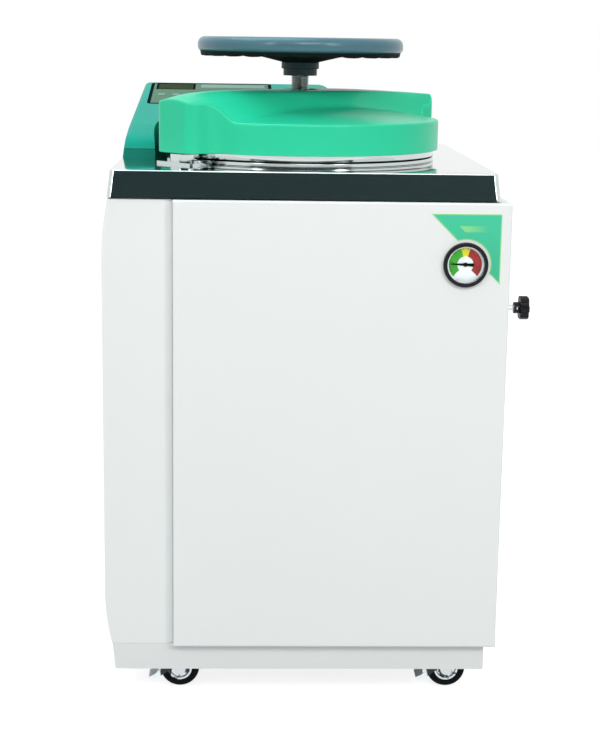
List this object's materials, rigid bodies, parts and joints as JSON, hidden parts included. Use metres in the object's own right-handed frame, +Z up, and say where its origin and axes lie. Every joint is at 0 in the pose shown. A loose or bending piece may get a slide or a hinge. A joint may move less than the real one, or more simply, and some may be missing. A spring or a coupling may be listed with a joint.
{
  "type": "vertical floor-standing autoclave",
  "caption": "Top-loading steam autoclave in a white cabinet on casters, with a swing-away domed lid clamped by a handwheel, a control console behind it and a pressure gauge.",
  "frame": {"origin": "middle of the bounding box on the floor", "axes": "+X to the right, +Y to the back, +Z up; the cabinet front faces -Y"},
  "size_m": [0.653, 0.69, 0.9963],
  "materials": {
    "cabinet_paint": "satin powder coat, warm white",
    "frame_paint": "matte dark grey paint",
    "worktop_steel": "polished stainless steel",
    "vessel_steel": "brushed stainless steel",
    "lid_steel": "mirror polished stainless steel",
    "screw_steel": "turned bright steel",
    "insulation_wool": "mineral wool",
    "gasket_silicone": "black silicone rubber",
    "heater_sheath": "heat-tinted stainless steel",
    "cover_green": "glossy teal green",
    "console_green": "glossy teal green",
    "fascia_film": "grey membrane with a dark border",
    "display_tint": "dark liquid-crystal window",
    "board": "green circuit board",
    "key_plastic": "light grey keys",
    "wheel_enamel": "satin slate blue-grey enamel",
    "gauge_black": "gloss black bezel and case",
    "dial_print": "white dial with coloured sectors",
    "gauge_window": "clear glass",
    "pointer_black": "matte black",
    "badge_green": "green printed badge",
    "brass_fitting": "plain brass",
    "knob_black": "black moulded knob",
    "pipe_copper": "copper tube",
    "box_steel": "zinc-plated sheet",
    "gland_plastic": "black nylon",
    "zinc": "bright zinc-plated steel",
    "tyre_rubber": "black rubber tyre on a grey hub",
    "pedal_steel": "bright zinc-plated steel",
    "bush_bronze": "bronze"
  },
  "bodies": {
    "cabinet": {"base_tray": "cabinet_paint", "chassis_frame": "frame_paint", "front_panel": "cabinet_paint", "right_side_panel": "cabinet_paint", "left_column_cover": "cabinet_paint", "rear_panel": "cabinet_paint", "top_plate": "worktop_steel", "vessel": "vessel_steel", "vessel_insulation": "insulation_wool", "lid_gasket": "gasket_silicone", "immersion_heater": "heater_sheath", "heater_guard": "vessel_steel", "hinge_block": "worktop_steel", "hinge_pin": "screw_steel", "latch_keeper": "worktop_steel", "plate_bolts": "screw_steel", "console_housing": "console_green", "console_fascia": "fascia_film", "display_window": "display_tint", "control_board": "board", "gauge_case": "gauge_black", "gauge_dial": "dial_print", "gauge_glass": "gauge_window", "front_badge": "badge_green", "exhaust_valve": "brass_fitting", "exhaust_pipe": "pipe_copper", "pressure_line": "pipe_copper", "safety_valve": "brass_fitting", "drain_valve": "brass_fitting", "electrical_box": "box_steel", "cable_gland": "gland_plastic", "caster_plates": "zinc"},
    "lid_arm": {"lid_cover": "cover_green", "lid_beam": "screw_steel", "hinge_bush": "bush_bronze", "screw_nut": "bush_bronze"},
    "lid": {"lid_disc": "lid_steel", "thrust_housing": "screw_steel", "guide_rods": "screw_steel"},
    "wheel_and_screw": {"handwheel": "wheel_enamel", "handwheel_hub": "wheel_enamel", "clamp_screw": "screw_steel", "wheel_nut": "screw_steel"},
    "exhaust_control": {"exhaust_knob": "knob_black", "exhaust_stem": "screw_steel"},
    "pointer": {"gauge_pointer": "pointer_black"},
    "key_set": {"key_set": "key_plastic"},
    "key_down": {"key_down": "key_plastic"},
    "key_up": {"key_up": "key_plastic"},
    "key_start": {"key_start": "key_plastic"},
    "fork_front_left": {"caster_fork_front_left": "zinc"},
    "wheel_front_left": {"caster_wheel_front_left": "tyre_rubber"},
    "pedal_front_left": {"brake_pedal_front_left": "pedal_steel"},
    "fork_front_right": {"caster_fork_front_right": "zinc"},
    "wheel_front_right": {"caster_wheel_front_right": "tyre_rubber"},
    "pedal_front_right": {"brake_pedal_front_right": "pedal_steel"},
    "fork_rear_left": {"caster_fork_rear_left": "zinc"},
    "wheel_rear_left": {"caster_wheel_rear_left": "tyre_rubber"},
    "fork_rear_right": {"caster_fork_rear_right": "zinc"},
    "wheel_rear_right": {"caster_wheel_rear_right": "tyre_rubber"}
  },
  "joints": [
    {"name": "lid_swing", "type": "hinge", "parent": "cabinet", "child": "lid_arm", "pos_m": [-0.21037, -0.20125, 0.87], "axis": [0, 0, -1], "range_deg": [0, 110]},
    {"name": "lid_lift", "type": "slide", "parent": "lid_arm", "child": "lid", "axis": [0, 0, 1], "range_m": [0, 0.01]},
    {"name": "wheel_turn", "type": "hinge", "parent": "lid", "child": "wheel_and_screw", "pos_m": [-0.0335, -0.042, 0.96], "axis": [0, 0, 1], "range_deg": [0, 720]},
    {"name": "exhaust_turn", "type": "hinge", "parent": "cabinet", "child": "exhaust_control", "pos_m": [0.2665, -0.158, 0.585], "axis": [1, 0, 0], "range_deg": [0, 540]},
    {"name": "pointer_sweep", "type": "hinge", "parent": "cabinet", "child": "pointer", "pos_m": [0.2008, -0.337, 0.6775], "axis": [0, 1, 0], "range_deg": [-44, 223]},
    {"name": "key_set_press", "type": "slide", "parent": "cabinet", "child": "key_set", "axis": [0, 0.1874, -0.9823], "range_m": [0, 0.0007], "stiffness_N_per_m": 400},
    {"name": "key_down_press", "type": "slide", "parent": "cabinet", "child": "key_down", "axis": [0, 0.1874, -0.9823], "range_m": [0, 0.0007], "stiffness_N_per_m": 400},
    {"name": "key_up_press", "type": "slide", "parent": "cabinet", "child": "key_up", "axis": [0, 0.1874, -0.9823], "range_m": [0, 0.0007], "stiffness_N_per_m": 400},
    {"name": "key_start_press", "type": "slide", "parent": "cabinet", "child": "key_start", "axis": [0, 0.1874, -0.9823], "range_m": [0, 0.0007], "stiffness_N_per_m": 400},
    {"name": "swivel_front_left", "type": "hinge", "parent": "cabinet", "child": "fork_front_left", "pos_m": [-0.2375, -0.266, 0.07], "axis": [0, 0, 1], "continuous": true},
    {"name": "roll_front_left", "type": "hinge", "parent": "fork_front_left", "child": "wheel_front_left", "pos_m": [-0.2155, -0.266, 0.03], "axis": [0, 1, 0], "continuous": true},
    {"name": "brake_front_left", "type": "hinge", "parent": "fork_front_left", "child": "pedal_front_left", "pos_m": [-0.2275, -0.266, 0.038], "axis": [0, 1, 0], "range_deg": [0, 20]},
    {"name": "swivel_front_right", "type": "hinge", "parent": "cabinet", "child": "fork_front_right", "pos_m": [0.179, -0.266, 0.07], "axis": [0, 0, 1], "continuous": true},
    {"name": "roll_front_right", "type": "hinge", "parent": "fork_front_right", "child": "wheel_front_right", "pos_m": [0.201, -0.266, 0.03], "axis": [0, 1, 0], "continuous": true},
    {"name": "brake_front_right", "type": "hinge", "parent": "fork_front_right", "child": "pedal_front_right", "pos_m": [0.189, -0.266, 0.038], "axis": [0, 1, 0], "range_deg": [0, 20]},
    {"name": "swivel_rear_left", "type": "hinge", "parent": "cabinet", "child": "fork_rear_left", "pos_m": [-0.2375, 0.26, 0.07], "axis": [0, 0, 1], "continuous": true},
    {"name": "roll_rear_left", "type": "hinge", "parent": "fork_rear_left", "child": "wheel_rear_left", "pos_m": [-0.2155, 0.26, 0.03], "axis": [0, 1, 0], "continuous": true},
    {"name": "swivel_rear_right", "type": "hinge", "parent": "cabinet", "child": "fork_rear_right", "pos_m": [0.179, 0.26, 0.07], "axis": [0, 0, 1], "continuous": true},
    {"name": "roll_rear_right", "type": "hinge", "parent": "fork_rear_right", "child": "wheel_rear_right", "pos_m": [0.201, 0.26, 0.03], "axis": [0, 1, 0], "continuous": true}
  ],
  "couplings": [
    {"joint": "lid_lift", "follows": "wheel_turn", "m_per_rad": 0.00079577}
  ]
}
